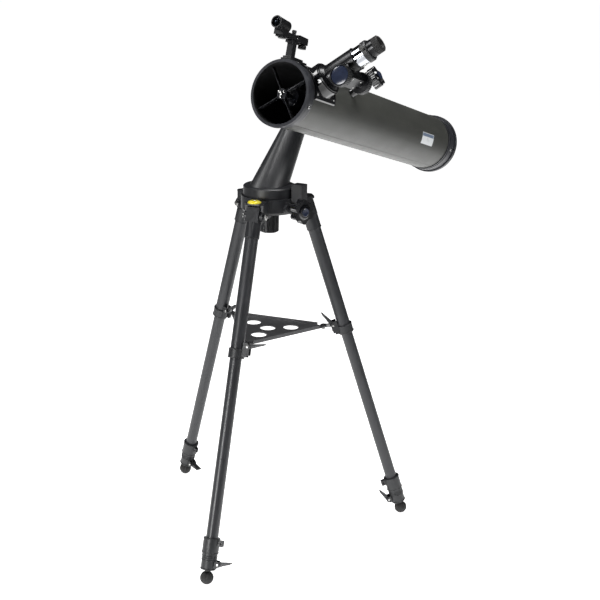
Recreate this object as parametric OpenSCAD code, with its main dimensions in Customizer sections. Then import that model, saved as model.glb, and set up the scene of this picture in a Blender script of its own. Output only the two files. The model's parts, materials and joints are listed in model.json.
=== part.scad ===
// Newtonian telescope on a one-arm alt-azimuth head and a three-section tripod.
// Millimetres. +Z up, the tube points along -Y, the altitude axis runs along X.

/* [Tripod] */
// Height of the leg hinge pins above the floor
hinge_z = 718; // [500:1:900]
// Radius of the hinge pins from the azimuth axis
hinge_r = 82; // [70:1:110]
// Splay of each leg from the vertical, degrees
splay = 18.3; // [10:0.1:25]
// Azimuth of the front leg, degrees
leg_az = -77.4; // [-90:0.1:90]
// Outside diameter of the upper leg tube
top_d = 28; // [22:0.5:36]
// Wall of the leg tubes
wall = 1.2; // [0.8:0.1:2]
// Gap between sliding leg tubes, on radius
slip = 0.3; // [0.1:0.05:0.6]
// Distance from hinge to the upper lock
upper_lock = 281; // [200:1:400]
// Distance from hinge to the top of the lower lock
lower_lock = 660; // [500:1:750]
// Distance from hinge to the ball of the foot
foot_s = 741.6; // [600:0.1:900]
// Radius of the ball foot
foot_r = 14; // [8:0.5:20]

/* [Tray] */
// Height of the top of the tray
tray_z = 455; // [300:1:600]
// Distance from the centre to each side of the tray
tray_r = 66; // [50:0.5:70]
// Diameter of the eyepiece holes, for 1.25 inch eyepieces
hole_d = 33; // [31.8:0.1:36]
// Radius of the circle of outer holes
hole_r = 50.5; // [40:0.5:60]
// Thickness of the tray plate
tray_t = 2; // [1:0.1:4]

/* [Head] */
// Radius of the fixed hub
hub_r = 60; // [50:1:75]
// Radius of the turning disc
disc_r = 56; // [45:1:70]
// Top of the turning disc
disc_top = 769; // [740:1:800]
// Distance the altitude axis sits behind the azimuth axis
alt_y = 125; // [60:1:160]
// Height of the altitude axis
alt_z = 903; // [850:1:1000]

/* [Tube] */
// Sideways distance from the azimuth axis to the tube axis
tube_x = 143.6; // [110:0.1:180]
// Upward tilt of the tube in the pose shown, degrees
tube_alt = 15.5; // [0:0.1:60]
// Outside radius of the main tube
tube_r = 60; // [50:0.1:80]
// Wall of the main tube
tube_t = 1.2; // [0.8:0.1:2]
// Outside radius of the end rings
ring_r = 65; // [55:0.1:85]
// Distance from the altitude axis to the front rim
front_len = 321.5; // [250:0.5:400]
// Distance from the altitude axis to the back rim
back_len = 338.5; // [250:0.5:400]

/* [Focuser] */
// Turn of the focuser round the tube from its top, degrees
foc_turn = 53.7; // [30:0.1:90]
// Distance of the focuser axis ahead of the altitude axis
foc_y = 259; // [200:0.5:290]
// Outside diameter of the chrome drawtube
draw_d = 39.5; // [36:0.1:52]
// Diameter of the eyepiece barrel
barrel_d = 31.6; // [31:0.05:31.75]
// Running clearance of turning and sliding fits, on radius
fit = 0.05; // [0.01:0.01:0.1]

/* [Hidden] */
$fn = 64;
e = 0.01;
lift = 0.3;
legs = [leg_az, leg_az + 120, leg_az + 240];
mid_d = top_d - 2 * wall - 2 * slip;
low_d = mid_d - 2 * wall - 2 * slip;
// focuser pinion shaft, in the focuser frame
knob_z = 117;
knob_x = 29;
// height of the azimuth lock, and place of the finder's brightness wheel along the tube
lock_z = 731;
wheel_y = -265;
// side of the leg each lock lever is on, and how far it stands open, degrees
upper_locks = [[90, 73], [180, 23], [180, 35]];
lower_locks = [[90, 72], [180, 25], [180, 80]];
// lever pins, out from the leg axis and down from the hinge
upper_pivot = [24, -266];
lower_pivot = [21.5, -712];
// moves the azimuth axis so that the origin is at floor level under the middle of the overall box
off = [0.8, -75.27, 0];

// ---- placing helpers ----
module row() { translate(off) children(); }
// leg frame: z runs up the leg, x points away from the azimuth axis
module leg(i) {
  row() rotate([0, 0, legs[i]]) translate([hinge_r, 0, hinge_z])
    rotate([0, -splay, 0]) children();
}
// tube frame: -y is the front, z is the tube's own up
module ota() {
  row() translate([tube_x, alt_y, alt_z]) rotate([-tube_alt, 0, 0]) children();
}
// focuser frame: z points out of the tube, y keeps the tube's y
module foc() { ota() translate([0, -foc_y, 0]) rotate([0, foc_turn, 0]) children(); }

// ---- shapes ----
module ring(ro, ri, h) {
  difference() { cylinder(r = ro, h = h); translate([0, 0, -1]) cylinder(r = ri, h = h + 2); }
}
module cone_ring(r1, r2, ri, h) {
  difference() {
    cylinder(r1 = r1, r2 = r2, h = h);
    translate([0, 0, -1]) cylinder(r = ri, h = h + 2);
  }
}
// lobed hand knob, z = 0 at its back face
module lobes(r, h, n, bore = 0) {
  difference() {
    union() {
      cylinder(r = r * 0.82, h = h);
      for (i = [0 : n - 1]) rotate([0, 0, i * 360 / n])
        translate([r * 0.74, 0, 0]) cylinder(r = r * 0.26, h = h, $fn = 32);
      translate([0, 0, h - e]) cylinder(r1 = r * 0.6, r2 = r * 0.48, h = 3);
    }
    for (i = [0 : n - 1]) rotate([0, 0, (i + 0.5) * 360 / n])
      translate([r * 1.04, 0, -1]) cylinder(r = r * 0.27, h = h + 5, $fn = 32);
    if (bore > 0) translate([0, 0, -1]) cylinder(r = bore, h = 6);
  }
}
module fluted(r, h, n, g) {
  difference() {
    cylinder(r = r, h = h);
    for (i = [0 : n - 1]) rotate([0, 0, i * 360 / n])
      translate([r + g * 0.45, 0, -1]) cylinder(r = g, h = h + 2, $fn = 20);
  }
}

// ---- hub ----
module clevis() {
  for (s = [-1, 1]) translate([0, s * 17.1, 0]) rotate([90, 0, 0]) translate([0, 0, -3]) linear_extrude(6) {
    translate([40, 709]) square([hinge_r - 36, 37]);
    translate([hinge_r, hinge_z]) circle(r = 11);
  }
  translate([54, -20, 742]) cube([30, 40, 4]);
  translate([84, -11, 742]) cube([9, 22, 4]);
  for (s = [-1, 1]) translate([84, s * 11, 742]) cylinder(r = 9, h = 4);
  translate([hinge_r, 0, hinge_z]) rotate([90, 0, 0]) {
    translate([0, 0, -24]) cylinder(r = 4, h = 48, $fn = 32);
    for (z = [-23.5, 20]) translate([0, 0, z]) cylinder(r = 6.5, h = 3.5, $fn = 6);
  }
}
module hub() color("DimGray") row() difference() {
  union() {
    translate([0, 0, 715]) cylinder(r1 = hub_r - 4, r2 = hub_r - 1, h = 5);
    translate([0, 0, 720 - e]) cylinder(r = hub_r, h = 28);
    for (a = legs) rotate([0, 0, a]) clevis();
    // block beside the disc that carries the azimuth stop
    rotate([0, 0, 4]) translate([58.5, -12, 722]) cube([24, 24, 56]);
    // boss for the azimuth lock
    rotate([0, 0, leg_az + 60]) translate([50, 0, lock_z]) rotate([0, 90, 0]) cylinder(r = 10, h = 18);
  }
  rotate([0, 0, leg_az + 60]) translate([30, 0, lock_z]) rotate([0, 90, 0]) cylinder(r = 5 + fit, h = 60);
  translate([0, 0, 700]) cylinder(r = 5 + fit, h = 60);
  translate([0, 0, 738]) cylinder(r = 16 + lift, h = 20);
  translate([0, 0, 748 - e]) cylinder(r = disc_r + 1.2, h = 60);
}

module bubble_level() color("Yellow") row() rotate([0, 0, leg_az]) translate([84, 0, 746 + e]) {
  cylinder(r = 14, h = 2.4);
  translate([0, 0, 2.4 - e]) cylinder(r1 = 13, r2 = 11.5, h = 1.6);
}

module hub_knob() color("Black") row() {
  translate([0, 0, 671]) fluted(20.5, 40, 12, 3);
  translate([0, 0, 668.5]) cylinder(r1 = 17, r2 = 20, h = 2.6);
  translate([0, 0, 711 - e]) cylinder(r = 12, h = 3.5);
  translate([0, 0, 714]) cylinder(r = 5, h = 22);
}

module azimuth_lock() color("Black") row() rotate([0, 0, leg_az + 60]) translate([98, 0, lock_z])
  rotate([0, 90, 0]) {
    lobes(26, 17, 6);
    translate([0, 0, -12]) cylinder(r1 = 8, r2 = 11, h = 12 + e);
    translate([0, 0, -64]) cylinder(r = 5, h = 53);
  }

module pan_disc() color("Black") row() {
  translate([0, 0, 748 + lift]) cylinder(r = disc_r, h = disc_top - 748 - lift - 2);
  translate([0, 0, disc_top - 2 - e]) cylinder(r1 = disc_r, r2 = disc_r - 2, h = 2);
  translate([0, 0, 739]) cylinder(r = 16, h = 10);
}

// ---- arm: two half shells on the plane x = 0, leaning back ----
module arm_solid() {
  difference() {
    union() {
      hull() {
        translate([-2, 2, disc_top]) scale([0.74, 1, 1]) cylinder(r = 50, h = 0.5);
        translate([0, 87, 878]) scale([0.48, 1, 1]) cylinder(r = 41.5, h = 0.5);
      }
      hull() {
        translate([0, 87, 877]) scale([0.48, 1, 1]) cylinder(r = 41.5, h = 0.5);
        translate([-15, alt_y, alt_z + 6]) rotate([0, 90, 0]) cylinder(r = 40, h = 30);
      }
    }
    translate([-60, alt_y, alt_z]) rotate([0, 90, 0]) cylinder(r = 12 + fit, h = 120);
    // flats for the altitude hub and its knob
    translate([15, alt_y, alt_z]) rotate([0, 90, 0]) cylinder(r = 34 + lift, h = 20);
    translate([-60, alt_y, alt_z]) rotate([0, 90, 0]) cylinder(r = 27, h = 44.6);
    // screw recesses in the outer half
    translate([-60, -8, 808]) rotate([0, 90, 0]) cylinder(r = 2.4, h = 43);
    translate([-60, 30, 848]) rotate([0, 90, 0]) cylinder(r = 2.4, h = 50);
  }
}
module arm_inner() color("DimGray") row() intersection() {
  arm_solid();
  translate([0.15, -80, 760]) cube([80, 300, 300]);
}
module arm_outer() color("DimGray") row() intersection() {
  arm_solid();
  translate([-80.15, -80, 760]) cube([80, 300, 300]);
}
module altitude_hub() color("Black") row() translate([0, alt_y, alt_z]) rotate([0, 90, 0]) {
  translate([0, 0, 15.3]) cylinder(r = 34, h = 8);
  translate([0, 0, -14]) cylinder(r = 12, h = 62);
  translate([0, 0, 23]) cylinder(r = 30, h = 4);
}
module altitude_knob() color("Black") row() translate([-16, alt_y, alt_z]) rotate([0, -90, 0]) {
  translate([0, 0, 0]) cylinder(r1 = 14, r2 = 11, h = 8);
  translate([0, 0, 8 - e]) lobes(24, 15, 6);
}

// ---- cradle that carries the tube ----
module saddle() color("Black") ota() difference() {
  union() {
    translate([-116, 0, 0]) rotate([0, 90, 0]) cylinder(r = 32, h = 18);
    translate([-98.2, -48, -27]) cube([10, 96, 54]);
    translate([-88.4, -48, -27]) cube([9, 96, 6.5]);
    translate([-88.4, -48, 20.5]) cube([9, 96, 6.5]);
  }
  translate([-120, 0, 0]) rotate([0, 90, 0]) cylinder(r = 12 + fit, h = 26);
  translate([-84, 20, 18]) cylinder(r = 4 + fit, h = 14);
}
module saddle_screw() color("Black") ota() translate([-84, 20, 28]) {
  cylinder(r = 7, h = 3);
  translate([0, 0, 3 - e]) fluted(12, 11, 10, 2.2);
  translate([0, 0, -7]) cylinder(r = 4, h = 8);
}
module dovetail() color("DimGray") ota() {
  difference() {
    union() {
      translate([-87.9, -70, -19.8]) cube([12, 140, 39.6]);
      for (y = [-55, 37]) translate([-76 - e, y, -16]) cube([19, 18, 32]);
    }
    rotate([90, 0, 0]) translate([0, 0, -100]) cylinder(r = tube_r + e, h = 200);
  }
}

// ---- tube ----
module tube() color("DimGray") ota() rotate([90, 0, 0]) difference() {
  translate([0, 0, -back_len + 40]) cylinder(r = tube_r, h = front_len + back_len - 47 - e, $fn = 96);
  translate([0, 0, -back_len]) cylinder(r = tube_r - tube_t, h = 800, $fn = 96);
  rotate([-90, 0, 0]) translate([0, -foc_y, 0]) rotate([0, foc_turn, 0])
    cylinder(r = 24, h = 90);
}
module front_ring() color("Black") ota() rotate([90, 0, 0]) {
  translate([0, 0, front_len - 7]) cone_ring(ring_r, ring_r - 1, tube_r - 1.6, 7);
  translate([0, 0, front_len - 24]) ring(ring_r - 3, tube_r, 17 + e);
  translate([0, 0, front_len - 27]) cone_ring(tube_r + 0.5, ring_r - 3, tube_r, 3 + e);
  for (a = [27, 117, 207, 297]) rotate([0, 0, a - 45]) translate([ring_r - 4, 0, front_len - 14])
    rotate([0, 90, 0]) cylinder(r1 = 3.2, r2 = 2.4, h = 3, $fn = 24);
}
module rear_cell() color("Black") ota() rotate([90, 0, 0]) {
  translate([0, 0, -back_len + 11]) ring(tube_r + 1.2, tube_r, 29);
  translate([0, 0, -back_len + 14]) ring(ring_r - 2.6, tube_r, 20);
  translate([0, 0, -back_len + 36.5]) ring(ring_r - 3, tube_r, 3.5);
  translate([0, 0, -back_len + 4]) ring(ring_r, tube_r - 6, 8 + e);
  translate([0, 0, -back_len + 20]) ring(tube_r + e, 46, 4);
  translate([0, 0, -back_len + 1]) cylinder(r = tube_r - 4, h = 5);
  translate([0, 0, -back_len + 6 - e]) cylinder(r = 30, h = 12);
  for (a = [90, 210, 330]) rotate([0, 0, a]) translate([42, 0, -back_len]) {
    translate([0, 0, -8]) fluted(7, 8, 10, 1.4);
    translate([0, 0, -e]) cylinder(r = 2.5, h = 20, $fn = 24);
  }
}
module primary_mirror() color("LightSteelBlue") ota() rotate([90, 0, 0])
  translate([0, 0, -back_len + 24 + e]) difference() {
    cylinder(r = 57, h = 14, $fn = 96);
    translate([0, 0, 10 + 450]) sphere(r = 450, $fn = 120);
  }
module spider() color("Black") ota() rotate([90, 0, 0]) translate([0, 0, front_len - 22]) {
  cylinder(r = 10, h = 14);
  for (a = [34, 124, 214, 304]) rotate([0, 0, a])
    translate([9, -0.5, 1]) cube([tube_r - tube_t - 9.2, 1, 11]);
  cylinder(r = 2.6, h = 17.5, $fn = 24);
  for (a = [30, 150, 270]) rotate([0, 0, a]) translate([6.6, 0, 0]) cylinder(r = 1.7, h = 16, $fn = 20);
}
module secondary() color("Silver") ota() translate([0, -foc_y, 0]) rotate([0, foc_turn, 0]) {
  // the cut face looks back at the mirror and out at the focuser
  rotate([90, 0, 0]) difference() {
    translate([0, 0, -20]) cylinder(r = 18, h = 44);
    rotate([-45, 0, 0]) translate([-40, -40, -80]) cube([80, 80, 80]);
  }
  rotate([90, 0, 0]) translate([0, 0, 20]) cylinder(r = 4, h = front_len - 22 - foc_y - 20);
}

// ---- focuser ----
module focuser_base() color("Black") foc() {
  intersection() {
    translate([-38, -34, 48]) cube([76, 70, 24]);
    difference() {
      rotate([90, 0, 0]) translate([0, 0, -60]) cylinder(r = tube_r + 4.5, h = 120, $fn = 96);
      rotate([90, 0, 0]) translate([0, 0, -61]) cylinder(r = tube_r + e, h = 122, $fn = 96);
      cylinder(r = draw_d / 2 + 2, h = 100);
    }
  }
  difference() {
    translate([0, 0, 56]) cylinder(r = 33, h = 18);
    rotate([90, 0, 0]) translate([0, 0, -61]) cylinder(r = tube_r + e, h = 122, $fn = 96);
    translate([0, 0, 40]) cylinder(r = draw_d / 2 + 2, h = 60);
  }
}
module focuser_body() color("Black") foc() difference() {
  union() {
    translate([0, 0, 74 + e]) cylinder(r = 31, h = 3);
    translate([0, 0, 77]) cylinder(r1 = 27, r2 = 22.2, h = 6);
    translate([0, 0, 83 - e]) cylinder(r = 22, h = 62);
    translate([8, -21, knob_z - 14]) cube([30, 42, 28]);
  }
  cylinder(r = draw_d / 2 + fit, h = 200);
  translate([knob_x, 40, knob_z]) rotate([90, 0, 0]) cylinder(r = 4 + fit, h = 80);
  translate([17, -5.5, knob_z - 10]) cube([19, 11, 20]);
}
module focus_knobs() color("Black") foc() translate([knob_x, 0, knob_z]) rotate([90, 0, 0]) {
  translate([0, 0, -42]) cylinder(r = 4, h = 84);
  translate([0, 0, -5]) cylinder(r = 6.2, h = 10);
  for (s = [0, 1]) mirror([0, 0, s]) {
    translate([0, 0, 24]) cylinder(r = 9, h = 8);
    translate([0, 0, 32 - e]) difference() {
      fluted(20.6, 13, 32, 1.1);
      translate([0, 0, 10.5]) cylinder(r1 = 17.8, r2 = 18.8, h = 4);
    }
  }
}
module drawtube() color("Silver") foc() difference() {
  union() {
    translate([0, 0, 64]) cylinder(r = draw_d / 2, h = 101 + e);
    translate([0, 0, 165]) cylinder(r = 21, h = 9);
    translate([0, 0, 174 - e]) cylinder(r1 = 21, r2 = 19.5, h = 2);
  }
  translate([0, 0, 60]) cylinder(r = barrel_d / 2 + fit, h = 130);
  translate([0, 30, 170]) rotate([90, 0, 0]) cylinder(r = 2 + fit, h = 60, $fn = 24);
}
module set_screw() {
  cylinder(r = 2, h = 6.2, $fn = 24);
  translate([0, 0, 6.2 - e]) cylinder(r = 3, h = 1.2);
  translate([0, 0, 7.4 - 2 * e]) fluted(5, 5.6, 12, 1);
}
module screw_a() color("Silver") foc() translate([0, 16.4, 170]) rotate([-90, 0, 0]) set_screw();
module screw_b() color("Silver") foc() translate([0, -16.4, 170]) rotate([90, 0, 0]) set_screw();
module eyepiece() color("Black") foc() {
  translate([0, 0, 145]) difference() {
    cylinder(r = barrel_d / 2, h = 31.4);
    translate([0, 0, -1]) cylinder(r = 13, h = 31);
  }
  translate([0, 0, 176.3]) cylinder(r = 16.8, h = 11);
}
module eyecup() color("Black") foc() translate([0, 0, 187.3 + e]) difference() {
  union() {
    fluted(16.6, 10.5, 24, 1.1);
    translate([0, 0, 10.5 - e]) cylinder(r1 = 15.6, r2 = 14.4, h = 1.8);
  }
  translate([0, 0, 4]) cylinder(r1 = 7, r2 = 12, h = 9);
}

// ---- red-dot finder: x = 0 at the tube's top line turned a little to -x ----
module find() { ota() translate([-4, 0, 0]) children(); }
// bar frame: rises towards the back, y runs along the bar
module bar() { find() translate([0, -352, 103.4]) rotate([-1.8, 0, 0]) children(); }
// sight tube frame: z runs back along the little tube, whose front looks up a little more
module sight() { find() translate([0, -364, 124]) rotate([-95, 0, 0]) children(); }
module finder_base() color("Black") {
  find() difference() {
    union() {
      translate([-12, -313, 58]) cube([24, 56, 10]);
      translate([-9, -311, 68 - e]) cube([18, 44, 4]);
      translate([-6.5, -307, 70]) cube([13, 14, 30]);
    }
    translate([4, 0, 0]) rotate([90, 0, 0]) translate([0, 0, 200]) cylinder(r = ring_r - 3 + e, h = 200);
  }
  bar() translate([-8.5, 40, -5.3]) cube([17, 24, 5]);
}
module finder_body() color("Black") difference() {
  union() {
    bar() {
      translate([-10, 0, 0]) cube([20, 90, 9]);
      translate([-9.5, 60, 9 - e]) cube([19, 30, 4]);
      translate([-8, 4, -3]) cube([16, 22, 3 + e]);
      translate([0, 14, -5]) cylinder(r = 7, h = 8);
      translate([-8.5, -2, 8]) cube([17, 24, 6]);
      translate([0, 52, 8]) cylinder(r = 4, h = 8);
    }
    sight() cylinder(r = 11.2, h = 35);
  }
  sight() translate([0, 0, -e]) cylinder(r = 9.6, h = 36);
  find() translate([0, wheel_y, 90]) cylinder(r = 3 + fit, h = 18);
}
module finder_window() color("LightBlue") sight()
  translate([0, 0, 10]) cylinder(r = 9.6 - e, h = 2);
module finder_wheel() color("Black") find() translate([0, wheel_y, 93.2]) {
  fluted(8, 6.7, 16, 1.2);
  translate([0, 0, 6.7 - e]) cylinder(r = 3, h = 7.6);
}

// ---- lobed knob on a stud behind the focuser ----
module stud_knob() color("Black") ota() translate([0, -143, 0]) rotate([0, foc_turn, 0]) {
  translate([0, 0, tube_r + 0.3]) cylinder(r1 = 9, r2 = 7, h = 50);
  translate([0, 0, tube_r + 50]) lobes(22, 16, 6);
}

// ---- legs ----
module leg_top(i) color("DimGray") leg(i) difference() {
  union() {
    translate([-13, -13.7, -14]) cube([28, 27.4, 31]);
    translate([0, 0, -46]) cylinder(r = 15.7, h = 33);
  }
  translate([0, 20, 0]) rotate([90, 0, 0]) cylinder(r = 4 + fit, h = 40);
  translate([0, 0, -60]) cylinder(r = top_d / 2 + e, h = 42);
}
module leg_tube(i) color("Black") leg(i)
  translate([0, 0, -upper_lock - 8]) ring(top_d / 2, top_d / 2 - wall, upper_lock + 8 - 18);

// lock frame: x away from the leg tube, y along the lever's pin
module lock(i, locks, pivot) {
  leg(i) rotate([0, 0, locks[i][0]]) translate([pivot[0], 0, pivot[1]]) children();
}
module ears(inner, low, high) {
  for (s = [-1, 1]) translate([0, s * 6.7 - 1.4, 0]) {
    translate([inner, 0, low]) cube([-inner, 2.8, high - low]);
    translate([0, 0, low + 4]) cube([4, 2.8, high - low - 8]);
    translate([0, 2.8, 0]) rotate([90, 0, 0]) cylinder(r = 5.4, h = 2.8, $fn = 32);
  }
}
module lever(len, open, half) {
  rotate([90, 0, 0]) translate([0, 0, -8.1]) cylinder(r = 2, h = 16.2, $fn = 24);
  rotate([0, open, 0]) hull() {
    rotate([90, 0, 0]) translate([0, 0, -4.4]) cylinder(r = 5, h = 8.8, $fn = 32);
    translate([0, -half, len - 3]) cube([2.6, 2 * half, 3]);
  }
}
// holes for the pin of a lever
module pin_hole() rotate([90, 0, 0]) translate([0, 0, -20]) cylinder(r = 2 + fit, h = 40, $fn = 24);

module leg_clamp(i) color("Black") difference() {
  union() {
    leg(i) translate([0, 0, -292]) cylinder(r = 16.8, h = 20);
    lock(i, upper_locks, upper_pivot) ears(-9.6, -22, 8);
    // lug the corner of the tray is screwed to
    row() rotate([0, 0, legs[i]]) {
      for (s = [-1, 1]) translate([117, s * 6.7 - 1.1, tray_z + lift]) cube([i == 0 ? 35.5 : 24, 2.2, 3]);
      translate([117, -7.8, tray_z + lift]) cube([i == 0 ? 35.5 : 11, 15.6, 3]);
      if (i == 0) translate([138, -7.8, tray_z - 9]) cube([17, 15.6, 12 + lift]);
      translate([122.5, 0, tray_z + 3 + lift - e]) cylinder(r = 3.4, h = 2);
    }
  }
  lock(i, upper_locks, upper_pivot) pin_hole();
  leg(i) translate([0, 0, -upper_lock - 8 - e]) cylinder(r = top_d / 2 + e, h = 60);
  leg(i) translate([0, 0, -293]) cylinder(r = mid_d / 2 + slip, h = 10);
}
module leg_lever(i) color("Black") lock(i, upper_locks, upper_pivot) lever(36, upper_locks[i][1], 6.6);
module leg_mid(i) color("Black") leg(i)
  translate([0, 0, -lower_lock - 4]) ring(mid_d / 2, mid_d / 2 - wall, lower_lock - upper_lock + 40);
module leg_collar(i) color("Black") difference() {
  union() {
    leg(i) translate([0, 0, -lower_lock - 31]) cylinder(r = 17, h = 31);
    leg(i) translate([0, 0, -lower_lock - 65]) cylinder(r1 = 15, r2 = 15.8, h = 34 + e);
    lock(i, lower_locks, lower_pivot) ears(-7, -7, 7);
    // split ear at the top of the collar
    lock(i, lower_locks, [0, -lower_lock - 10]) for (s = [-1, 1])
      translate([14, s * 3.2 - 1.4, -5]) cube([12, 2.8, 12]);
  }
  lock(i, lower_locks, [22, -lower_lock - 9]) pin_hole();
  lock(i, lower_locks, lower_pivot) pin_hole();
  leg(i) translate([0, 0, -lower_lock - 6]) cylinder(r = mid_d / 2 + e, h = 20);
  leg(i) translate([0, 0, -lower_lock - 66]) cylinder(r = low_d / 2 + slip, h = 70);
}
module leg_latch(i) color("Black") lock(i, lower_locks, lower_pivot) lever(28, lower_locks[i][1], 6);
module leg_low(i) color("Black") leg(i)
  translate([0, 0, -lower_lock - 62]) ring(low_d / 2, low_d / 2 - wall, lower_lock + 62 - 300);
module leg_foot(i) color("Black") leg(i) translate([0, 0, -foot_s]) {
  sphere(r = foot_r);
  translate([0, 0, 12]) cylinder(r = 5, h = 16);
  translate([0, 0, 20]) cylinder(r = low_d / 2 - wall - 0.02, h = 20);
}
module front_top() leg_top(0);
module front_tube() leg_tube(0);
module front_clamp() leg_clamp(0);
module front_lever() leg_lever(0);
module front_mid() leg_mid(0);
module front_collar() leg_collar(0);
module front_latch() leg_latch(0);
module front_low() leg_low(0);
module front_foot() leg_foot(0);
module right_top() leg_top(1);
module right_tube() leg_tube(1);
module right_clamp() leg_clamp(1);
module right_lever() leg_lever(1);
module right_mid() leg_mid(1);
module right_collar() leg_collar(1);
module right_latch() leg_latch(1);
module right_low() leg_low(1);
module right_foot() leg_foot(1);
module left_top() leg_top(2);
module left_tube() leg_tube(2);
module left_clamp() leg_clamp(2);
module left_lever() leg_lever(2);
module left_mid() leg_mid(2);
module left_collar() leg_collar(2);
module left_latch() leg_latch(2);
module left_low() leg_low(2);
module left_foot() leg_foot(2);

// ---- tray ----
module tri(r) {
  intersection_for(a = legs) rotate([0, 0, a + 180])
    translate([-400, -400]) square([400 + r, 800]);
}
module tray() color("Black") row() translate([0, 0, tray_z - tray_t]) difference() {
  union() {
    linear_extrude(tray_t) tri(tray_r);
    // lips along the three edges, open at the corners
    linear_extrude(tray_t + 5.5) intersection() {
      difference() { tri(tray_r); tri(tray_r - 1.6); }
      circle(r = 112, $fn = 96);
    }
  }
  translate([0, 0, -1]) cylinder(d = hole_d, h = 4);
  for (a = legs) rotate([0, 0, a]) {
    translate([hole_r, 0, -1]) cylinder(d = hole_d, h = 4);
    for (x = [96, 104]) translate([x, 0, -1]) cylinder(r = 1.6, h = 4, $fn = 24);
    translate([122.5, 0, -1]) cylinder(r = 2.1, h = 4, $fn = 24);
  }
}
module tray_screws() color("Silver") row() for (a = legs) rotate([0, 0, a]) translate([122.5, 0, tray_z]) {
  translate([0, 0, -tray_t - 5]) cylinder(r = 2, h = 5 + tray_t, $fn = 24);
  translate([0, 0, -tray_t - 4]) cylinder(r = 4, h = 4 - 0.02, $fn = 6);
}

hub();
bubble_level();
hub_knob();
azimuth_lock();
pan_disc();
front_top();
front_tube();
front_clamp();
front_lever();
front_mid();
front_collar();
front_latch();
front_low();
front_foot();
right_top();
right_tube();
right_clamp();
right_lever();
right_mid();
right_collar();
right_latch();
right_low();
right_foot();
left_top();
left_tube();
left_clamp();
left_lever();
left_mid();
left_collar();
left_latch();
left_low();
left_foot();
tray();
tray_screws();
arm_inner();
arm_outer();
altitude_hub();
altitude_knob();
saddle();
saddle_screw();
dovetail();
tube();
front_ring();
rear_cell();
primary_mirror();
spider();
secondary();
focuser_base();
focuser_body();
drawtube();
focus_knobs();
eyepiece();
eyecup();
screw_a();
screw_b();
finder_base();
finder_body();
finder_window();
finder_wheel();
stud_knob();
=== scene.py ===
# %% [markdown]
# # A Newtonian telescope on its tripod
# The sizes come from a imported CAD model, which is loaded as a fixed frame. Blender adds what a maker would
# call the finish: rounded edges, screws, ribs, knurling, mirrors, and the surface of each material.

# %% Load the frame
import json
from math import asin, atan2, cos, degrees, hypot, radians, sin, tau

import bmesh
import bpy
from mathutils import Matrix, Vector


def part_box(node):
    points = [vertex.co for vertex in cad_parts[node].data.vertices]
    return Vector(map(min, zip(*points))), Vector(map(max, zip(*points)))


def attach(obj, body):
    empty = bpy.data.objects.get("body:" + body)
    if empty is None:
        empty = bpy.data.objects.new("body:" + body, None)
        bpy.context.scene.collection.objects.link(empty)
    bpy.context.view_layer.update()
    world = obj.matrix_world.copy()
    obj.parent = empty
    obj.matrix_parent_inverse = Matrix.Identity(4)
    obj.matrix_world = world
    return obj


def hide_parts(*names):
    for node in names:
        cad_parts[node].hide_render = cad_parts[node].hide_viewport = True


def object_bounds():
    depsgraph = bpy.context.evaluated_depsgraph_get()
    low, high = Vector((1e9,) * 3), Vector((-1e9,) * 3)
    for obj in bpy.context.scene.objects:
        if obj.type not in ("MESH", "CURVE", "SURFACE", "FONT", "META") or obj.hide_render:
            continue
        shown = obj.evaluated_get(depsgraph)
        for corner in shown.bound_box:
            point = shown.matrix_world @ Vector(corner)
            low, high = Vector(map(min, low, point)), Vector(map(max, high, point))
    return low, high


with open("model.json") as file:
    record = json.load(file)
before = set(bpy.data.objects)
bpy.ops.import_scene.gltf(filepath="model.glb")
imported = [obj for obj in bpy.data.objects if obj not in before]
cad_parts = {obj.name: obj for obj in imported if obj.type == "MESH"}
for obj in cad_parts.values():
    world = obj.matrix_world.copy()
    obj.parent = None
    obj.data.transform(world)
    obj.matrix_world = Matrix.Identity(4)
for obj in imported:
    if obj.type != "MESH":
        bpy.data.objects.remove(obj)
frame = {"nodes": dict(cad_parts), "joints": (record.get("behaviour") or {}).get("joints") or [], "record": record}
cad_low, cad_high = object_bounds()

MM = 0.001
LOOK_AZIMUTH = 32.69
JOINTS = {j["name"]: j for j in frame["joints"]}

# %% [markdown]
# ## The camera
# A portrait-length lens from two and a half metres away, a little above the tube, so that the legs stay
# nearly parallel. It looks down by 16 degrees, and it is rolled a little over one degree.

# %% Camera
def aim_camera(place, azimuth, pitch, roll, lens):
    """A camera at a place, turned by plain angles: azimuth 0 looks along +Y, and pitch is downwards."""
    data = bpy.data.cameras.new("camera")
    data.lens, data.sensor_width = lens, 36
    camera = bpy.data.objects.new("camera", data)
    bpy.context.scene.collection.objects.link(camera)
    turn = Matrix.Rotation(radians(azimuth), 4, "Z") @ Matrix.Rotation(radians(90 - pitch), 4, "X")
    camera.matrix_world = Matrix.Translation(place) @ turn @ Matrix.Rotation(radians(roll), 4, "Z")
    bpy.context.scene.camera = camera

middle = (cad_low + cad_high) / 2
camera_place = Vector((1.4564, -2.2169, 1.2834))
aim_camera(camera_place, azimuth=LOOK_AZIMUTH, pitch=16.45, roll=1.315, lens=75.48)
print("camera stands", round((camera_place - middle).length, 2), "m from the middle of the telescope")

# %% [markdown]
# ## Shader helpers
# Every colour is written as a screen value, such as `#2b2c2e`, and turned to linear light by one function.
# `add` puts one shader node in a tree, sets its values and joins its inputs, so a material reads top down.

# %% Colour and node helpers
def linear(hex_colour):
    """An sRGB screen colour as linear red, green, blue and alpha."""
    parts = [int(hex_colour[i:i + 2], 16) / 255 for i in (1, 3, 5)]
    return [c / 12.92 if c <= 0.04045 else ((c + 0.055) / 1.055) ** 2.4 for c in parts] + [1.0]

def add(tree, kind, links=None, **settings):
    """Adds a shader node. settings are its properties or, with _ for a space, its inputs."""
    made = tree.nodes.new(kind)
    for name, value in settings.items():
        if hasattr(made, name):
            setattr(made, name, value)
        else:
            made.inputs[name.replace("_", " ")].default_value = value
    for name, source in (links or {}).items():
        tree.links.new(made.inputs[name], source)
    return made

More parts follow.
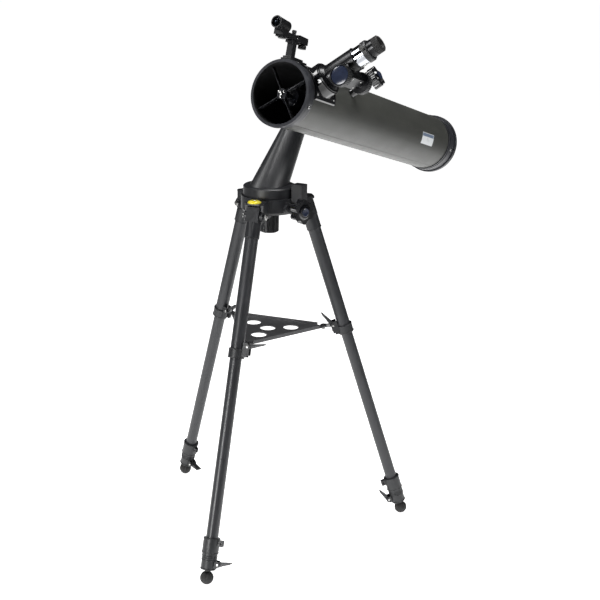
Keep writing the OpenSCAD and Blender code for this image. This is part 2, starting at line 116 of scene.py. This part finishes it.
def ramp(tree, source, stops):
    """A colour ramp from a list of (place, hex colour or grey value)."""
    made = add(tree, "ShaderNodeValToRGB", {"Fac": source})
    while len(made.color_ramp.elements) < len(stops):
        made.color_ramp.elements.new(0.5)
    for element, (place, value) in zip(made.color_ramp.elements, stops):
        element.position = place
        element.color = linear(value) if isinstance(value, str) else (value, value, value, 1)
    return made.outputs["Color"]

def fresh(name):
    """A new material with only a Principled shader and its output: returns (material, tree, shader)."""
    material = bpy.data.materials.new(name)
    material.use_nodes = True
    tree = material.node_tree
    return material, tree, tree.nodes["Principled BSDF"]

# %% [markdown]
# ## Soft studio light
# Product pictures of black things are lit by what they reflect. The room is a dim even grey, a little
# brighter behind the telescope. The floor is a white sweep with a painted glow where the camera looks,
# like a light table, and the glow is painted dark at the sides and in front, so that gloss black stays black.
# Soft disc lights stand high on the left, on the right and overhead, and a low one fills the legs from the front.

# %% Lights and floor
def area_light(name, place, target, size, watts):
    data = bpy.data.lights.new(name, "AREA")
    data.shape, data.size, data.energy = "DISK", size, watts
    lamp = bpy.data.objects.new(name, data)
    aim = (Vector(target) - Vector(place)).to_track_quat("-Z", "Y").to_matrix().to_4x4()
    lamp.matrix_world = Matrix.Translation(place) @ aim
    bpy.context.scene.collection.objects.link(lamp)

def dot(tree, place, direction):
    """How far a place lies along a direction."""
    made = add(tree, "ShaderNodeVectorMath", {0: place}, operation="DOT_PRODUCT")
    made.inputs[1].default_value = direction
    return made.outputs["Value"]

def studio_room(front, back, top, away):
    """A room that is brighter in the level direction `away`: brightness in front, behind and overhead."""
    world = bpy.data.worlds.new("white_studio")
    world.use_nodes = True
    tree = world.node_tree
    place = add(tree, "ShaderNodeTexCoord").outputs["Generated"]
    level = add(tree, "ShaderNodeMapRange", {"Value": dot(tree, place, away)}, From_Min=-0.5, From_Max=0.6,
                To_Min=front, To_Max=back)
    height = add(tree, "ShaderNodeSeparateXYZ", {"Vector": place}).outputs["Z"]
    fade = add(tree, "ShaderNodeMapRange", {"Value": height}, From_Min=0.25, From_Max=0.95,
               To_Min=1.0, To_Max=top)
    both = add(tree, "ShaderNodeMath", {0: level.outputs["Result"], 1: fade.outputs["Result"]},
               operation="MULTIPLY")
    tree.links.new(tree.nodes["Background"].inputs["Strength"], both.outputs["Value"])
    bpy.context.scene.world = world

away = Vector((-sin(radians(LOOK_AZIMUTH)), cos(radians(LOOK_AZIMUTH)), 0))
studio_room(front=0.22, back=0.45, top=0.40, away=away)
bpy.context.scene.view_settings.view_transform = "Standard"
area_light("key_panel", (-1.5, -1.3, 2.7), middle, 1.3, 42)
area_light("side_panel", (2.3, 0.2, 1.7), middle + Vector((0, 0, 0.2)), 0.9, 22)
area_light("top_panel", (0.4, 0.2, 3.0), middle, 1.2, 46)
area_light("low_fill", (-0.1, -3.1, 0.8), middle - Vector((0, 0, 0.2)), 0.9, 48)

# How the glow follows the view: half-width gained per metre ahead of the camera, how far the camera stands
# back from the origin, and the spare width beside the picture, in metres.
VIEW_SPREAD, CAMERA_BACK, GLOW_MARGIN = 0.24, 2.65, 0.25

def floor_sheet(reach=30):
    """A white sweep with a painted glow where the camera looks, like a light table, painted dark at the sides and
    in front.
    """
    mesh = bpy.data.meshes.new("floor")
    z = cad_low.z
    corners = [(-reach, -reach, z), (reach, -reach, z), (reach, reach, z), (-reach, reach, z)]
    mesh.from_pydata(corners, [], [(0, 1, 2, 3)])
    # The floor material glows though it is no lamp: a painted glow, masked below.
    white, tree, shader = fresh("white_floor_with_painted_glow")
    shader.inputs["Base Color"].default_value = (0.88, 0.88, 0.88, 1)
    shader.inputs["Roughness"].default_value = 0.7
    shader.inputs["Emission Color"].default_value = (1, 1, 1, 1)
    place = add(tree, "ShaderNodeNewGeometry").outputs["Position"]
    along = dot(tree, place, away)
    sideways = away.cross(Vector((0, 0, 1)))
    off_axis = add(tree, "ShaderNodeMath", {0: dot(tree, place, sideways)}, operation="ABSOLUTE")
    wedge = add(tree, "ShaderNodeMath", {0: along}, operation="MULTIPLY_ADD")
    wedge.inputs[1].default_value = VIEW_SPREAD
    wedge.inputs[2].default_value = VIEW_SPREAD * CAMERA_BACK + GLOW_MARGIN
    outside = add(tree, "ShaderNodeMath", {0: off_axis.outputs["Value"], 1: wedge.outputs["Value"]},
                  operation="SUBTRACT")
    sides = add(tree, "ShaderNodeMapRange", {"Value": outside.outputs["Value"]},
                interpolation_type="SMOOTHSTEP", From_Min=0.0, From_Max=0.7, To_Min=1.0, To_Max=0.06)
    front = add(tree, "ShaderNodeMapRange", {"Value": along}, interpolation_type="SMOOTHSTEP",
                From_Min=-1.1, From_Max=-0.55, To_Min=0.06, To_Max=1.0)
    # Painted glow: the floor's emission, strong where the camera looks and painted dark at the sides and in front.
    painted_glow = add(tree, "ShaderNodeMath", {0: sides.outputs["Result"], 1: front.outputs["Result"]},
              operation="MULTIPLY")
    tree.links.new(shader.inputs["Emission Strength"], painted_glow.outputs["Value"])
    mesh.materials.append(white)
    sheet = bpy.data.objects.new("floor", mesh)
    bpy.context.scene.collection.objects.link(sheet)

floor_sheet()

# %% [markdown]
# ## Materials
# ### Moulded and painted surfaces
# Most of this telescope is black, and what tells one black from another is the grain and the gloss.
# Moulds are spark eroded, so ABS has an even grain of about a third of a millimetre. Powder coat flows
# into soft "orange peel" a millimetre or two wide. Both get dust in the hollows and rub paler on edges.

# %% A coated or moulded surface
def surface(name, colour, worn, rough, grain_mm, depth, metal=0.0, coat=0.0, blotch_mm=40, vary=0.06):
    """colour with paler worn patches, a grain of a real size, and roughness that varies a little."""
    material, tree, shader = fresh(name)
    place = add(tree, "ShaderNodeTexCoord").outputs["Object"]
    blotch = add(tree, "ShaderNodeTexNoise", {"Vector": place}, Scale=1000 / blotch_mm,
                 Detail=5, Roughness=0.6)
    grain = add(tree, "ShaderNodeTexNoise", {"Vector": place}, Scale=1000 / grain_mm,
                Detail=2, Roughness=0.5)
    bump = add(tree, "ShaderNodeBump", {"Height": grain.outputs["Fac"]}, Distance=depth * MM, Strength=0.6)
    tint = ramp(tree, blotch.outputs["Fac"], [(0.35, colour), (0.75, worn)])
    gloss = ramp(tree, blotch.outputs["Fac"], [(0.3, rough - vary), (0.7, rough + vary)])
    for socket, source in (("Base Color", tint), ("Roughness", gloss), ("Normal", bump.outputs["Normal"])):
        tree.links.new(shader.inputs[socket], source)
    shader.inputs["Metallic"].default_value = metal
    shader.inputs["IOR"].default_value = 1.5
    shader.inputs["Coat Weight"].default_value = coat
    shader.inputs["Coat Roughness"].default_value = 0.12
    return material

tube_enamel = surface("graphite_stoved_enamel", "#3a3b38", "#41423e", 0.44, 0.9, 0.05, coat=0.10)
arm_coat = surface("charcoal_powder_coat_on_aluminium", "#1c1d1f", "#232427", 0.42, 1.4, 0.10)
hub_coat = surface("charcoal_powder_coat_on_zinc_casting", "#1a1b1e", "#222326", 0.38, 1.6, 0.10)
leg_enamel = surface("satin_black_enamel_on_steel_tube", "#26272a", "#2c2d30", 0.42, 1.1, 0.03, coat=0.10)
moulded_abs = surface("satin_black_moulded_abs", "#0f1012", "#16171a", 0.34, 0.8, 0.06)
gloss_abs = surface("gloss_black_moulded_abs", "#0c0d10", "#121317", 0.16, 2.5, 0.02, coat=0.6)
nylon = surface("black_glass_filled_nylon", "#1e1f21", "#2a2b2d", 0.44, 0.6, 0.10)
tray_paint = surface("grey_black_paint_on_pressed_steel", "#4a4a4c", "#535355", 0.40, 1.0, 0.05)
ring_abs = surface("black_moulded_end_ring", "#2b2c30", "#34353a", 0.33, 0.9, 0.04)
anodised = surface("black_anodised_aluminium", "#131416", "#1a1b1e", 0.28, 0.5, 0.02, metal=0.35)
matt_inside = surface("matt_black_light_trap_paint", "#08080a", "#0c0c0e", 0.78, 0.5, 0.12)
rubber = surface("black_nitrile_rubber", "#111112", "#1c1b1a", 0.66, 0.7, 0.10, blotch_mm=9)
label_film = surface("white_vinyl_label", "#e6e9ea", "#dcdfe2", 0.30, 3.0, 0.01)
label_blue = surface("grey_blue_printed_band", "#6f7d92", "#66758b", 0.32, 3.0, 0.01)
print("coatings and mouldings ready")

# %% [markdown]
# ### Bare metal, glass and the yellow level
# Chrome is nearly white and mirror smooth, and turned steel shows fine rings. The mirrors are glass with
# a thin coat of aluminium on the front. The level is a clear yellow acrylic can.

# %% Metals, mirrors and glass
def metal(name, colour, rough, scratch_mm=0.4, depth=0.01):
    material, tree, shader = fresh(name)
    place = add(tree, "ShaderNodeTexCoord").outputs["Object"]
    scratch = add(tree, "ShaderNodeTexNoise", {"Vector": place}, Scale=1000 / scratch_mm, Detail=4)
    smear = add(tree, "ShaderNodeTexNoise", {"Vector": place}, Scale=60, Detail=3)
    bump = add(tree, "ShaderNodeBump", {"Height": scratch.outputs["Fac"]},
               Distance=depth * MM, Strength=0.4)
    tree.links.new(shader.inputs["Normal"], bump.outputs["Normal"])
    gloss = ramp(tree, smear.outputs["Fac"], [(0.3, rough * 0.7), (0.7, rough * 1.4)])
    tree.links.new(shader.inputs["Roughness"], gloss)
    shader.inputs["Base Color"].default_value = linear(colour)
    shader.inputs["Metallic"].default_value = 1.0
    return material

chrome = metal("chrome_plated_brass", "#c9ccd2", 0.08)
steel = metal("zinc_plated_steel", "#b4b4b2", 0.24)
silvered = metal("aluminised_mirror_glass", "#e6ebef", 0.02, depth=0.0)
vane_steel = surface("black_painted_steel_vane", "#3a3b3e", "#45464a", 0.26, 1.0, 0.02, metal=0.5, coat=0.3)

def clear(name, colour, rough, ior=1.49, transmission=1.0, coat=0.0):
    material, tree, shader = fresh(name)
    shader.inputs["Base Color"].default_value = linear(colour)
    shader.inputs["Transmission Weight"].default_value = transmission
    shader.inputs["Roughness"].default_value = rough
    shader.inputs["IOR"].default_value = ior
    shader.inputs["Coat Weight"].default_value = coat
    return material

cap_blue = surface("blue_black_moulded_cap", "#23293a", "#2b3246", 0.20, 2.0, 0.01, coat=0.4)
coated_glass = clear("multi_coated_lens_glass", "#b9c9de", 0.02, ior=1.52)
level_can = surface("yellow_acrylic_can", "#e8d52a", "#f0e040", 0.18, 4.0, 0.01, coat=0.8)
print("metals and glass ready")

# %% [markdown]
# ## Local frames
# Each moving group has its own natural axes: a leg has "up the leg", the tube has "towards the sky", and the
# focuser has "out of the tube". They are read from the CAD joints, so every detail lands where it belongs.

# %% Frames of the legs, the tube and the focuser
def axes(origin, y, z):
    """A matrix whose columns are x = y cross z, y, z, placed at origin. All in metres."""
    y, z = Vector(y).normalized(), Vector(z).normalized()
    turn = Matrix((y.cross(z), y, z)).transposed()
    return Matrix.Translation(origin) @ turn.to_4x4()

LEGS = ("front", "right", "left")
leg_frame = {}
for leg in LEGS:
    fold = JOINTS[leg + "_fold"]
    leg_frame[leg] = axes(fold["pos_m"], fold["axis"], JOINTS[leg + "_mid_slide"]["axis"])

tube_low, tube_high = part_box("tube")
tilt_place = Vector(JOINTS["altitude_tilt"]["pos_m"])
tube_up = Vector(JOINTS["finder_wheel_turn"]["axis"])
tube_middle = ((tube_low.x + tube_high.x) / 2, tilt_place.y, tilt_place.z)
tube_frame = axes(tube_middle, tube_up.cross(Vector((1, 0, 0))), tube_up)

pinion = tube_frame.inverted() @ Vector(JOINTS["focus_turn"]["pos_m"])
focus_foot = tube_frame @ Vector((0, pinion.y, 0))
focus_frame = axes(focus_foot, JOINTS["focus_turn"]["axis"], JOINTS["focus_slide"]["axis"])
hub_axis = Vector(JOINTS["azimuth_turn"]["pos_m"])
hub_frame = Matrix.Translation((hub_axis.x, hub_axis.y, 0))
print("tube tilts", round(degrees(atan2(tube_up.y, tube_up.z)), 1), "degrees")

def at(frame_, x=0, y=0, z=0, turn=0, tip=0, spin=0):
    """A place in a local frame, in millimetres, turned about z, then tipped about y, then spun about z."""
    return (frame_ @ Matrix.Translation(Vector((x, y, z)) * MM) @ Matrix.Rotation(radians(turn), 4, "Z")
            @ Matrix.Rotation(radians(tip), 4, "Y") @ Matrix.Rotation(radians(spin), 4, "Z"))

# %% [markdown]
# ## Making pieces
# `eased` takes a CAD solid and rounds its sharp edges, as a casting or moulding has them. `lathe` turns a
# profile, `block` and `hoop` make blocks and raised rings, `carved` cuts one shape out of another, and
# `curved_patch` lays a thin sheet on the tube. Every piece rides on the CAD body that it belongs to.

# %% Turned, flat and carved shapes
def solid_from(shape):
    """A mesh from a bmesh, with doubled corners joined and every face turned outwards."""
    bmesh.ops.remove_doubles(shape, verts=shape.verts, dist=1e-7)
    bmesh.ops.recalc_face_normals(shape, faces=shape.faces)
    mesh = bpy.data.meshes.new("solid")
    shape.to_mesh(mesh)
    shape.free()
    return mesh

def lathe(profile, steps=48, flutes=0, flute_mm=0.0):
    """Turns (radius, height) pairs in mm about z. A third value in a pair is its share of the flutes."""
    shape, rings = bmesh.new(), []
    for r, z, *share in profile:
        ring = []
        for i in range(steps if r else 1):
            angle = tau * i / steps
            dip = flute_mm * share[0] * (0.5 - 0.5 * cos(flutes * angle)) if share else 0
            ring.append(shape.verts.new(Vector(((r - dip) * cos(angle), (r - dip) * sin(angle), z)) * MM))
        rings.append(ring)
    for a, b in zip(rings, rings[1:]):
        for i in range(steps):
            corners = [a[i % len(a)], a[(i + 1) % len(a)], b[(i + 1) % len(b)], b[i % len(b)]]
            corners = list(dict.fromkeys(corners))
            if len(corners) > 2:
                shape.faces.new(corners)
    return solid_from(shape)

def block(x, y, z, ease=0.3):
    """A block centred on its place, with its edges rounded."""
    shape = bmesh.new()
    bmesh.ops.create_cube(shape, size=1)
    bmesh.ops.scale(shape, vec=Vector((x, y, z)) * MM, verts=shape.verts)
    if ease:
        bmesh.ops.bevel(shape, geom=shape.edges[:], offset=ease * MM, segments=2, affect="EDGES",
                        profile=0.5)
    return solid_from(shape)

def hoop(r, z, thick, steps=64):
    """A raised ring of half-round section, `thick` high, standing on a cylinder of radius r."""
    inside = r - 0.3
    return lathe([(inside, z - thick), (r, z - thick), (r + thick * 0.8, z - thick * 0.5), (r + thick, z),
                  (r + thick * 0.8, z + thick * 0.5), (r, z + thick), (inside, z + thick),
                  (inside, z - thick)], steps)

def carved(mesh, tool):
    """The mesh with the tool's shape cut out of it."""
    pair = [bpy.data.objects.new(n, m) for n, m in (("stock", mesh), ("cutter", tool))]
    for item in pair:
        bpy.context.scene.collection.objects.link(item)
    cut = pair[0].modifiers.new("cut", "BOOLEAN")
    cut.operation, cut.object, cut.solver = "DIFFERENCE", pair[1], "EXACT"
    result = bpy.data.meshes.new_from_object(pair[0].evaluated_get(bpy.context.evaluated_depsgraph_get()))
    for item in pair:
        bpy.data.objects.remove(item)
    return result

def cross_screw(r, h):
    """A pan-head screw with a cross recess. Its head stands on z = 0, with a short shank below."""
    head = lathe([(0, -1.2), (r * 0.5, -1.2), (r * 0.5, 0), (r, 0), (r, h * 0.4), (r * 0.9, h * 0.75),
                  (r * 0.6, h * 0.95), (0, h)], 28)
    for x, y in ((r * 1.1, r * 0.28), (r * 0.28, r * 1.1)):
        slot = block(x, y, h * 0.9, 0)
        slot.transform(Matrix.Translation((0, 0, h * MM)))
        head = carved(head, slot)
    return head

def curved_patch(r, thick, y_from, y_to, a_from, a_to, steps=16):
    """A thin sheet laid on the tube, from one angle off the top line to another."""
    shape = bmesh.new()
    rows = []
    for i in range(steps + 1):
        a = radians(a_from + (a_to - a_from) * i / steps)
        rows.append([shape.verts.new(Vector((q * sin(a), y, q * cos(a))) * MM)
                     for q, y in ((r, y_from), (r, y_to), (r + thick, y_to), (r + thick, y_from))])
    for a, b in zip(rows, rows[1:]):
        for i in range(4):
            shape.faces.new((a[i], a[(i + 1) % 4], b[(i + 1) % 4], b[i]))
    shape.faces.new(rows[0])
    shape.faces.new(rows[-1])
    return solid_from(shape)

# %% Finishing and easing
def finish_piece(name, mesh, material, body, place=None, stands_for=(), angle=35):
    """Makes the object, shades it smooth except at sharp edges, and lets it ride on its body."""
    mesh.polygons.foreach_set("use_smooth", [True] * len(mesh.polygons))
    mesh.set_sharp_from_angle(angle=radians(angle))
    mesh.materials.clear()
    mesh.materials.append(material)
    piece = bpy.data.objects.new(name, mesh)
    piece.matrix_world = place or Matrix.Identity(4)
    bpy.context.scene.collection.objects.link(piece)
    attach(piece, body)
    if stands_for:
        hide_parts(*stands_for)
    return piece

NODE_BODY = {n: b for b, members in frame["record"]["behaviour"]["bodies"].items() for n in members}

def eased(node, material, width_mm, segments=2, angle=30):
    """The CAD solid with its sharp edges rounded to a real radius."""
    mesh = frame["nodes"][node].data.copy()
    shape = bmesh.new()
    shape.from_mesh(mesh)
    bmesh.ops.remove_doubles(shape, verts=shape.verts, dist=1e-6)
    bmesh.ops.dissolve_limit(shape, angle_limit=radians(1), verts=shape.verts, edges=shape.edges)
    shape.to_mesh(mesh)
    shape.free()
    piece = finish_piece(node + "_body", mesh, material, NODE_BODY[node], None, (node,),
                         angle)
    if width_mm:
        bevel = piece.modifiers.new("eased_edges", "BEVEL")
        bevel.width, bevel.segments = width_mm * MM, segments
        bevel.limit_method, bevel.angle_limit = "ANGLE", radians(angle)
        bevel.use_clamp_overlap, bevel.harden_normals = True, True
    return piece

def two_tone(piece, material, frame_, test):
    """Gives a second material to the faces whose middle passes the test, in local millimetres."""
    piece.data.materials.append(material)
    back = frame_.inverted()
    for face in piece.data.polygons:
        if test(*(back @ face.center / MM)):
            face.material_index = 1

def many(name, mesh, material, body, places, angle=35):
    """One mesh in several places, as screws from one box are."""
    for i, place in enumerate(places):
        finish_piece(f"{name}_{i + 1}", mesh, material, body, place, angle=angle)

# %% A first coat: every CAD solid eased and finished
FINISH = {
    "hub": (hub_coat, 1.2), "pan_disc": (hub_coat, 1.0), "hub_knob": (moulded_abs, 0.8),
    "azimuth_lock": (gloss_abs, 1.8), "bubble_level": (level_can, 0.6), "arm_inner": (arm_coat, 2.0),
    "arm_outer": (arm_coat, 2.0), "altitude_hub": (moulded_abs, 0.8), "altitude_knob": (gloss_abs, 1.8),
    "saddle": (hub_coat, 1.0), "saddle_screw": (moulded_abs, 0.6), "dovetail": (hub_coat, 0.8),
    "tube": (tube_enamel, 0.0), "front_ring": (ring_abs, 0.8), "rear_cell": (ring_abs, 0.8),
    "primary_mirror": (silvered, 0.5), "spider": (vane_steel, 0.15), "secondary": (gloss_abs, 0.3),
    "focuser_base": (gloss_abs, 1.4), "focuser_body": (anodised, 0.6), "drawtube": (chrome, 0.4),
    "focus_knobs": (moulded_abs, 0.6), "eyepiece": (anodised, 0.4), "eyecup": (rubber, 0.5),
    "screw_a": (steel, 0.3), "screw_b": (steel, 0.3), "finder_base": (moulded_abs, 0.8),
    "finder_body": (moulded_abs, 0.8), "finder_window": (coated_glass, 0.0),
    "finder_wheel": (moulded_abs, 0.4),
    "stud_knob": (gloss_abs, 1.8), "tray": (tray_paint, 0.3), "tray_screws": (steel, 0.3),
}
for leg in LEGS:
    FINISH |= {leg + "_top": (hub_coat, 1.4), leg + "_tube": (leg_enamel, 0.0),
               leg + "_mid": (leg_enamel, 0.0), leg + "_low": (leg_enamel, 0.0),
               leg + "_clamp": (nylon, 0.8), leg + "_lever": (nylon, 0.8),
               leg + "_collar": (nylon, 0.8), leg + "_latch": (nylon, 0.8)}
made = {node: eased(node, *look) for node, look in FINISH.items()}
two_tone(made["tube"], matt_inside, tube_frame, lambda x, y, z: hypot(x, z) < 59.4)
two_tone(made["front_ring"], matt_inside, tube_frame, lambda x, y, z: hypot(x, z) < 59.4 and y > -320)
two_tone(made["drawtube"], nylon, focus_frame, lambda x, y, z: z > 164.5 or hypot(x, y) < 17)
two_tone(made["secondary"], silvered, focus_frame, lambda x, y, z: hypot(x, y - z) < 6 and z < 15)
print(len(made), "solids eased")

# %% [markdown]
# ## The tripod
# Zinc-plated screws show as bright dots against the black. The locks have ribs for the fingers, the split
# collars have raised rims, and each foot is a ribbed rubber ball.

# %% Screws used all over
small_screw, mid_screw, big_screw = cross_screw(1.7, 1.0), cross_screw(2.6, 1.5), cross_screw(5.2, 2.2)
hex_nut = lathe([(0, 0), (6.1, 0), (6.1, 3.2), (5.3, 3.9), (3.2, 3.9), (3.2, 5.2), (0, 5.6)], 6)
pin_end = lathe([(0, -0.5), (2.6, -0.5), (2.6, 0.3), (2.0, 0.9), (0, 1.2)], 24)

# %% Legs, locks and feet
LOCKS = {"front": ((90, 73), (90, 72)), "right": ((180, 23), (180, 25)), "left": ((180, 35), (180, 80))}
foot_profile = [(0, -14)] + [(14 * sin(radians(a)), -14 * cos(radians(a)), min(1, sin(radians(a)) * 1.2))
                             for a in range(12, 160, 8)]
foot_profile += [(6.2, 12.6), (6.2, 15), (5, 16), (5, 40), (0, 40)]
foot_ball = lathe(foot_profile, 72, flutes=12, flute_mm=1.1)
rim = {r: hoop(r, 0, 0.9) for r in (16.8, 17.0, 15.6)}
rib = block(1.0, 9.0, 1.1, 0.3)
for leg in LEGS:
    base = leg_frame[leg]
    finish_piece(leg + "_ball", foot_ball, rubber, leg + "_low", at(base, z=-741.6), (leg + "_foot",))
    many(leg + "_pin_nut", hex_nut, steel, "hub", [at(base, y=23.4, turn=90, tip=90)])
    many(leg + "_pin_head", big_screw, steel, "hub", [at(base, y=-23.4, turn=-90, tip=90)])
    many(leg + "_clamp_rim", rim[16.8], nylon, leg + "_leg", [at(base, z=-273.4), at(base, z=-290.6)])
    many(leg + "_collar_rim", rim[17.0], nylon, leg + "_mid", [at(base, z=-661.4), at(base, z=-689.6)])
    many(leg + "_collar_foot_rim", rim[15.6], nylon, leg + "_mid",
         [at(base, z=-z) for z in (697, 701, 705, 722.6)])
    many(leg + "_sleeve_rim", hoop(15.7, 0, 0.7), hub_coat, leg + "_leg", [at(base, z=-45)])
    for (side, opening), pivot, body, lever, reach in (
            (LOCKS[leg][0], (24, -266), leg + "_leg", leg + "_lever", 36),
            (LOCKS[leg][1], (21.5, -712), leg + "_mid", leg + "_latch", 28)):
        lock = at(base, turn=side) @ Matrix.Translation(Vector((pivot[0], 0, pivot[1])) * MM)
        pin_ends = [at(lock, y=end * 8.1, turn=end * 90, tip=90) for end in (1, -1)]
        many(lever + "_pin_end", pin_end, steel, body, pin_ends)
        swung = lock @ Matrix.Rotation(radians(opening), 4, "Y")
        many(lever + "_rib", rib, nylon, lever, [at(swung, x=3.1, z=reach - k) for k in (4, 7, 10)])

# %% Hub, level and lock knobs
front_turn = degrees(atan2(leg_frame["front"].col[0].y, leg_frame["front"].col[0].x))
level = at(at(hub_frame, turn=front_turn), x=84, z=750)
clear_cap = lathe([(0, 0), (9.5, 0), (9.2, 0.7), (6, 1.2), (0, 1.4)], 48)
finish_piece("level_window", clear_cap, level_can, "hub", level)
level_ring = lathe([(4.2, 1.2), (4.8, 1.2), (4.8, 1.5), (4.2, 1.5), (4.2, 1.2)], 40)
finish_piece("level_ring", level_ring, moulded_abs, "hub", level)
level_bubble = lathe([(0, 1.3), (2.2, 1.3), (1.6, 1.8), (0, 2.0)], 24)
finish_piece("level_bubble", level_bubble, label_film, "hub", at(level, x=1.2, y=0.8))
star_cap = lathe([(0, -0.5), (8.6, -0.5), (8.6, 0.6), (7.8, 1.0), (5.5, 0.5), (0, 0.3)], 40)
lock_turn = JOINTS["azimuth_lock_turn"]
def facing(joint, away_mm):
    """A frame on a joint's axis, z outwards, the given distance along it."""
    axis = Vector(joint["axis"]).normalized()
    side = axis.cross(Vector((0, 0, 1)))
    side = side.normalized() if side.length > 0.1 else Vector((0, 1, 0))
    return axes(Vector(joint["pos_m"]) + axis * away_mm * MM, side, axis)
finish_piece("azimuth_lock_cap", star_cap, cap_blue, "azimuth_lock", facing(lock_turn, 20.0))
many("arm_screw", mid_screw, steel, "head",
     [at(hub_frame, x, y, z, tip=-90) for x, y, z in ((-17, -8, 808), (-10, 30, 848))])

# %% [markdown]
# ## The optical tube
# The steel tube is rolled and has one seam along its underside. Inside it is matt black, like a light trap.
# The end rings are screwed on, and the small white label near the back is left blank.

# %% Tube, rings, spider and label
seam = block(1.3, 592, 0.5, 0.15)
finish_piece("tube_seam", seam, tube_enamel, "telescope",
             at(tube_frame, 60 * sin(radians(154)), 2, 60 * cos(radians(154)), tip=154))
label_sheet = curved_patch(60, 0.12, 168, 223, 81.5, 105.5)
finish_piece("blank_label", label_sheet, label_film, "telescope", tube_frame)
band_sheet = curved_patch(60.1, 0.08, 169, 222, 82.5, 89)
finish_piece("label_band", band_sheet, label_blue, "telescope", tube_frame)

def round_the_tube(angle, y, r):
    """A place on the tube, z pointing out of it. The angle goes from the top line towards the focuser."""
    return at(tube_frame, r * sin(radians(angle)), y, r * cos(radians(angle)), tip=angle)

many("front_ring_screw", mid_screw, steel, "telescope",
     [round_the_tube(a, -307.5, 63.9) for a in (18, 108, 198, 288)])
many("rear_ring_screw", mid_screw, steel, "telescope",
     [round_the_tube(a, 314.5, 62.3) for a in (100, 220, 340)])
many("rear_cell_screw", mid_screw, steel, "telescope",
     [at(tube_frame, 50 * sin(radians(a)), 337.4, 50 * cos(radians(a)), turn=90, tip=90)
      for a in range(0, 360, 60)])
hub_screw = cross_screw(2.2, 1.4)
many("diagonal_screw", hub_screw, steel, "telescope",
     [at(tube_frame, 6.6 * cos(radians(a)), -315.4, 6.6 * sin(radians(a)), turn=-90, tip=90)
      for a in (30, 150, 270)])
diagonal_bolt = lathe([(0, 0), (3.4, 0), (3.4, 1.6), (2.6, 2.2), (0, 2.6)], 24)
finish_piece("diagonal_bolt", diagonal_bolt, steel, "telescope",
             at(tube_frame, 0, -315.8, 0, turn=-90, tip=90))
clip = block(7, 3, 10, 0.4)
many("mirror_clip", clip, moulded_abs, "telescope",
     [at(tube_frame, 54.5 * sin(radians(a)), 298.6, 54.5 * cos(radians(a)), tip=a) for a in (0, 120, 240)])
baffle = lathe([(58.6, 0), (56.4, 0), (56.4, 0.8), (58.6, 0.8), (58.6, 0)], 96)
many("baffle_ring", baffle, matt_inside, "telescope",
     [at(tube_frame, 0, y, 0, turn=-90, tip=90) for y in (-180, -90, 0, 90, 180, 270)])

# %% [markdown]
# ## The focuser and the finder
# A pinion on the knob's shaft drives a rack on the chrome drawtube. The knobs have dished blue-black caps.

# %% Focuser and eyepiece
PINION_Z, KNOB_X = 117, 29
rack = bmesh.new()
for k in range(38):
    bmesh.ops.create_cube(rack, size=1, matrix=Matrix.Translation(Vector((20.2, 0, 70 + 2.45 * k)) * MM)
                          @ Matrix.Diagonal((1.3 * MM, 6 * MM, 1.3 * MM, 1)))
bmesh.ops.create_cube(rack, size=1, matrix=Matrix.Translation(Vector((19.4, 0, 115)) * MM)
                      @ Matrix.Diagonal((1.2 * MM, 7 * MM, 94 * MM, 1)))
finish_piece("focus_rack", solid_from(rack), steel, "drawtube", focus_frame)
knob_cap = lathe([(0, -0.4), (17.6, -0.4), (17.6, 0.8), (16.9, 1.3), (15, 0.7), (8, 0.2), (0, 0)], 64)
for i, side in enumerate((1, -1)):
    finish_piece(f"focus_knob_cap_{i + 1}", knob_cap, cap_blue, "focus_knobs",
                 at(focus_frame, KNOB_X, side * 42.7, PINION_Z, turn=side * 90, tip=90))
many("pinion_cover_screw", small_screw, steel, "telescope",
     [at(focus_frame, 37.9, y, PINION_Z + z, tip=90) for y in (-15, 15) for z in (-9, 9)])
saddle_turn = degrees(asin(31 / 64.5))
many("focuser_base_screw", mid_screw, steel, "telescope",
     [at(focus_frame, s * 31, y, 56.4, tip=s * saddle_turn) for s in (-1, 1) for y in (-29, 29)])
many("body_rim", hoop(22, 0, 0.8), anodised, "telescope", [at(focus_frame, z=z) for z in (143.8, 84.5)])
eye_lens = lathe([(0, 0), (7.4, 0), (7.4, 0.8), (4, 1.9), (0, 2.3)], 40)
finish_piece("eye_lens", eye_lens, coated_glass, "eyepiece", at(focus_frame, z=191.4))
many("eyepiece_groove", hoop(16.8, 0, 0.4), anodised, "eyepiece",
     [at(focus_frame, z=z) for z in (179, 181.5)])
washer = lathe([(0, 0), (9.8, 0), (9.8, 1.8), (9.2, 2.2), (0, 2.2)], 40)
finish_piece("stud_washer", washer, steel, "stud_knob", facing(JOINTS["stud_knob_turn"], -10.4))
finish_piece("stud_cap", star_cap, cap_blue, "stud_knob", facing(JOINTS["stud_knob_turn"], 11.2))

# %% Red-dot finder
finder = at(tube_frame, x=-4)
sight = at(finder, y=-364, z=124) @ Matrix.Rotation(radians(-95), 4, "X")
bar = at(finder, y=-352, z=103.4) @ Matrix.Rotation(radians(-1.8), 4, "X")
front_bezel = lathe([(9.7, 0), (11.6, 0), (11.6, 2.2), (10.9, 2.8), (9.7, 2.8), (9.7, 0)], 48)
finish_piece("finder_bezel", front_bezel, moulded_abs, "telescope", at(sight, z=2.4, tip=180))
back_bezel = lathe([(9.7, 0), (11.5, 0), (11.5, 2), (9.7, 2), (9.7, 0)], 48)
finish_piece("finder_back_bezel", back_bezel, moulded_abs, "telescope", at(sight, z=33.4))
knurled_head = lathe([(0, 0), (4.6, 0, 1), (4.6, 3.6, 1), (3.8, 4.2), (0, 4.2)], 48, 14, 0.5)
finish_piece("finder_top_screw", knurled_head, moulded_abs, "telescope", at(bar, y=52, z=15.5))
many("finder_screw", small_screw, steel, "telescope",
     [at(bar, side * 10, 52, 4.5, tip=side * 90) for side in (1, -1)])
print("details fitted")
